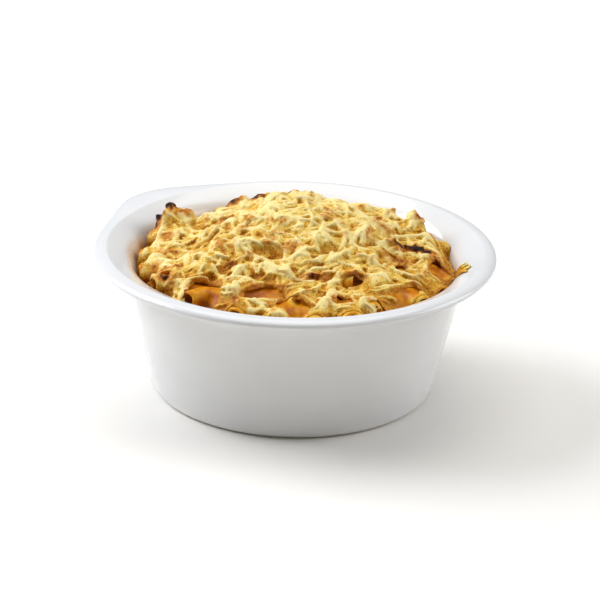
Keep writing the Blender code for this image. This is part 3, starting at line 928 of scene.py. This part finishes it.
# Scorched places: place across and back, half length to the side and away, in mm, and how
# dark it went.
SCORCHES = (
    (-53, 28.5, 3.0, 3.0, 1.5),
    (-57, 23.5, 2.0, 2.0, 1.3),
    (-46.5, 27, 3.0, 2.5, 0.7),
    (-27.5, 37, 3.2, 2.2, 1.4),
    (-16.5, 38.5, 2.8, 2.0, 1.4),
    (-4.5, 40, 2.6, 1.5, 1.2),
    (-12, 37.5, 1.6, 1.6, 0.5),
    (49, 0.5, 5.5, 2.2, 1.7),
    (42, -3, 3.5, 1.4, 1.3),
    (41, -12, 5.0, 2.4, 0.85),
    (58, -4, 3.0, 2.0, 0.8),
    (8, -35.5, 5.5, 1.4, 0.9),
    (34, 19, 1.6, 2.2, 0.95),
    (-28.5, 15.7, 2.6, 1.4, 0.8),
    (-2, -17, 4.0, 2.0, 0.6),
    (-47, -21.5, 1.6, 1.4, 0.85),
    (-51, -30.5, 3.0, 1.6, 1.0),
    (-23.5, -53, 1.8, 3.5, 1.0),
    (-10, -42, 6.5, 1.6, 0.9),
    (-20, -1, 3.0, 1.0, 0.6),
    (24, -34, 4.0, 1.6, 0.7),
    (-50, -4, 2.4, 1.6, 0.7),
    (-26, -24, 2.6, 1.6, 0.75),
    (-53, 12, 2.5, 3.0, 0.6),
    (-56, -16, 1.8, 3.0, 0.6),
    (-38, -12, 3.0, 1.2, 0.6),
    (51, 24.5, 1.6, 1.4, 0.8),
    (40.5, 33, 1.4, 1.2, 0.9),
)
toast = np.zeros(len(co))
for across, back, half_long, half_deep, dark in SCORCHES:
    off = np.hypot((co[:, 0] - across * MM) / (half_long * MM),
                   (co[:, 1] - back * MM) / (half_deep * MM))
    toast = np.maximum(toast, dark * np.exp(-0.5 * off ** 2))
browned = 0.6 + lumps(co[:, 0], co[:, 1], 3.5 * MM, 8.8)
toast = np.maximum(toast, 0.5 * rim * np.clip(browned, 0.2, 1))
caught = np.clip((lumps(co[:, 0], co[:, 1], 6 * MM, 2.6) - 0.2) / 0.3, 0, 1)
toast = np.maximum(toast, 0.5 * caught * np.clip((raised - 0.2) / 0.6, 0, 1))
on_dish = np.hypot(co[:, 0], co[:, 1]) > 64.3 * MM
give_attribute(cheese, "toast", np.where(on_dish, 0, toast))

# Melted, browned cheese: a soft matt skin, yellow to gold where it lies thin over pasta,
# toasted along free edges and black at a few tips. Cream on the crests and deeper gold in
# the crevices between shreds is painted light and shade.
melted, tree, shader = new_material("melted_grated_cheese", Roughness=0.55,
                                    Subsurface_Weight=0.12, Subsurface_Scale=0.002,
                                    Subsurface_Radius=(1.0, 0.7, 0.3),
                                    Specular_IOR_Level=0.15)
where = add_node(tree, "TexCoord").outputs["Object"]
crest = add_node(tree, "Attribute", attribute_name="raised")
patch = add_node(tree, "TexNoise", {"Vector": where, "Scale": 1 / (7 * MM), "Detail": 4.0})
speck = add_node(tree, "TexNoise", {"Vector": where, "Scale": 1 / (1.6 * MM), "Detail": 4.0})
crumb = add_node(tree, "TexNoise", {"Vector": where, "Scale": 1 / (0.7 * MM), "Detail": 3.0})
lifted = add_node(tree, "Math", {0: crest.outputs["Fac"], 1: 0.55, 2: -0.21},
                  operation='MULTIPLY_ADD')
tone = add_node(tree, "Math", {0: patch.outputs["Fac"], 1: 0.7, 2: lifted.outputs[0]},
                operation='MULTIPLY_ADD')
tone = add_node(tree, "Math", {0: speck.outputs["Fac"], 1: 0.3, 2: tone.outputs[0]},
                operation='MULTIPLY_ADD')
fine = add_node(tree, "MapRange", {0: crumb.outputs["Fac"], 1: 0.3, 2: 0.7, 3: -0.24, 4: 0.24})
tone = add_node(tree, "Math", {0: fine.outputs[0], 1: tone.outputs[0]})
plain = add_node(tree, "ValToRGB", {0: tone.outputs[0]},
                 stops=[(0.16, "#A2600A"), (0.32, "#BE8018"), (0.46, "#CC982A"),
                        (0.58, "#D6AC42"), (0.72, "#DEBE60"), (0.90, "#EAD692")])
scorched = add_node(tree, "Attribute", attribute_name="toast")
ragged = add_node(tree, "MapRange", {0: speck.outputs["Fac"], 1: 0.35, 2: 0.65, 3: 0.55, 4: 1.2})
burn = add_node(tree, "Math", {0: scorched.outputs["Fac"], 1: ragged.outputs[0]},
                operation='MULTIPLY')
gold = add_node(tree, "MapRange", {0: burn.outputs[0], 1: 0.12, 2: 0.45})
brown = add_node(tree, "MapRange", {0: burn.outputs[0], 1: 0.42, 2: 0.72})
black = add_node(tree, "MapRange", {0: burn.outputs[0], 1: 0.75, 2: 1.0})
gilded = add_node(tree, "MixRGB", {0: gold.outputs[0], 1: plain.outputs[0],
                                   2: linear("#C68428")})
tanned = add_node(tree, "MixRGB", {0: brown.outputs[0], 1: gilded.outputs[0],
                                   2: linear("#8E4C14")})
charred = add_node(tree, "MixRGB", {0: black.outputs[0], 1: tanned.outputs[0],
                                    2: linear("#2C1A10")})
tree.links.new(charred.outputs[0], shader.inputs["Base Color"])
rough = add_node(tree, "Math", {0: crumb.outputs["Fac"], 1: 0.6, 2: speck.outputs["Fac"]},
                 operation='MULTIPLY_ADD')
grain = add_node(tree, "Bump", {"Height": rough.outputs[0], "Strength": 0.8,
                                "Distance": 0.5 * MM})
tree.links.new(grain.outputs[0], shader.inputs["Normal"])
cheese.data.materials.append(melted)
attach(cheese, "root")
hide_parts("cheese_topping")

# ---------------------------------------------------------------------------------------
# Table, daylight and camera: a plain white table top, soft light from high behind the left
# shoulder of the dish, and a long lens that looks down on it at a shallow angle.
# ---------------------------------------------------------------------------------------
bpy.ops.object.select_all(action='DESELECT')
bpy.ops.mesh.primitive_plane_add(size=12)
table = bpy.context.object
table.name = "white_table"
paper, tree, shader = new_material("matt_white_table", Roughness=0.8)
shader.inputs["Base Color"].default_value = linear("#EFECE6")
table.data.materials.append(paper)


def aim(piece, place, target, roll=0.0):
    """Put a light or a camera at a place, looking at a target."""
    turn = (Vector(target) - Vector(place)).to_track_quat('-Z', 'Y').to_matrix().to_4x4()
    piece.matrix_world = Matrix.Translation(place) @ turn @ Matrix.Rotation(roll, 4, 'Z')


def soft_light(name, place, width, power, colour):
    """A large square light aimed at the dish."""
    data = bpy.data.lights.new(name, 'AREA')
    data.size = width
    data.energy = power
    data.color = linear(colour)[:3]
    lamp = bpy.data.objects.new(name, data)
    bpy.context.scene.collection.objects.link(lamp)
    aim(lamp, place, (0, 0, 0.05))


soft_light("window", (-1.3, 0.5, 1.0), 1.2, 36, "#F4F8FF")
soft_light("ceiling", (0.0, 0.5, 1.9), 1.6, 20, "#FFFFFF")
soft_light("right_card", (1.4, 0.2, 0.8), 1.0, 14, "#F8FAFF")
soft_light("front_card", (0.0, -1.7, 0.35), 1.4, 1.2, "#FFEFD0")
world = bpy.data.worlds.new("studio")
world.use_nodes = True
world.node_tree.nodes["Background"].inputs[0].default_value = (1, 1, 1, 1)
world.node_tree.nodes["Background"].inputs[1].default_value = 0.17
bpy.context.scene.world = world
bpy.context.scene.view_settings.view_transform = 'Standard'

LENS = 155.0
RISE = math.radians(20.9)
DISTANCE = 1.050
ROLL = math.radians(1.44)
data = bpy.data.cameras.new("camera")
data.lens = LENS
data.sensor_width = 36
data.clip_start = 0.05
camera = bpy.data.objects.new("camera", data)
bpy.context.scene.collection.objects.link(camera)
crest_middle = Vector((0, 0, DISH_HEIGHT))
stand = crest_middle + DISTANCE * Vector((0, -math.cos(RISE), math.sin(RISE)))
down = Vector((0, -math.sin(RISE), -math.cos(RISE)))
aim(camera, stand, crest_middle + Vector((2.4 * MM, 0, 0)) + down * 22.15 * MM, ROLL)
bpy.context.scene.camera = camera
